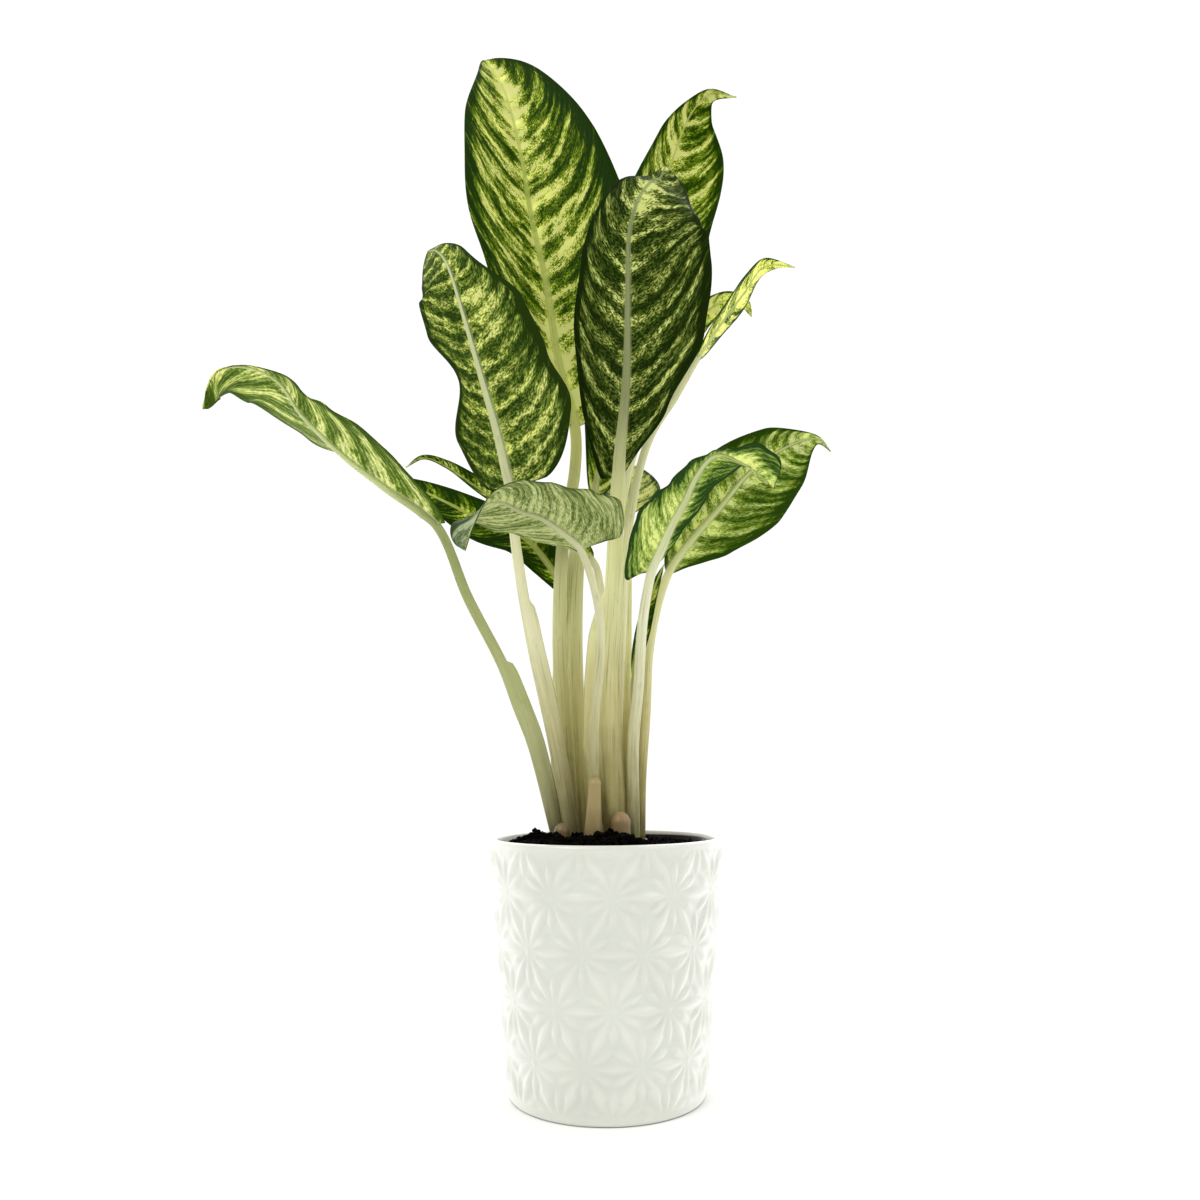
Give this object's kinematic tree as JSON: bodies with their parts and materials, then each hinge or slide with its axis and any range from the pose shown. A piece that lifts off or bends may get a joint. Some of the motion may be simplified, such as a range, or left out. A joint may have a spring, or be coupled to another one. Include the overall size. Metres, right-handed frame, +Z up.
{
  "type": "potted plant",
  "caption": "Tall clump of long-stalked, oval, pointed leaves rising from short canes in soil, in a plastic grow pot inside a slightly tapered ceramic cover pot.",
  "frame": {"origin": "centre of the cover pot's flat base, on the surface that the pot stands on", "axes": "+Z up, along the plant's height; the plant's front, as it is usually shown, faces -Y; +X to the right seen from the front"},
  "size_m": [0.3625, 0.2309, 0.6966],
  "materials": {
    "pot_glaze": "satin white glaze",
    "grow_pot_plastic": "moulded, dark brown",
    "soil": "moist crumbly potting mix",
    "cane_bark": "smooth olive bark",
    "shoot_skin": "smooth pinkish cream",
    "leaf_upper_bright": "satin leaf, chartreuse and green",
    "leaf_green": "satin leaf, variegated dark green"
  },
  "bodies": {
    "root": {"cover_pot": "pot_glaze", "grow_pot": "grow_pot_plastic", "potting_soil": "soil", "cane_left": "cane_bark", "cane_middle": "cane_bark", "cane_right": "cane_bark", "shoot_tall": "shoot_skin", "shoot_stub": "shoot_skin", "shoot_bud": "shoot_skin", "leaf_back_tall": "leaf_upper_bright", "leaf_back_right": "leaf_upper_bright", "leaf_front_tall": "leaf_green", "leaf_left_upright": "leaf_green", "leaf_far_left": "leaf_green", "leaf_left_low": "leaf_green", "leaf_front_small": "leaf_green", "leaf_left_narrow": "leaf_green", "leaf_right_front": "leaf_green", "leaf_right_back": "leaf_green", "leaf_middle_back": "leaf_green", "leaf_right_narrow": "leaf_green", "leaf_right_hidden": "leaf_green", "leaf_rolled_young": "leaf_green"}
  },
  "joints": []
}
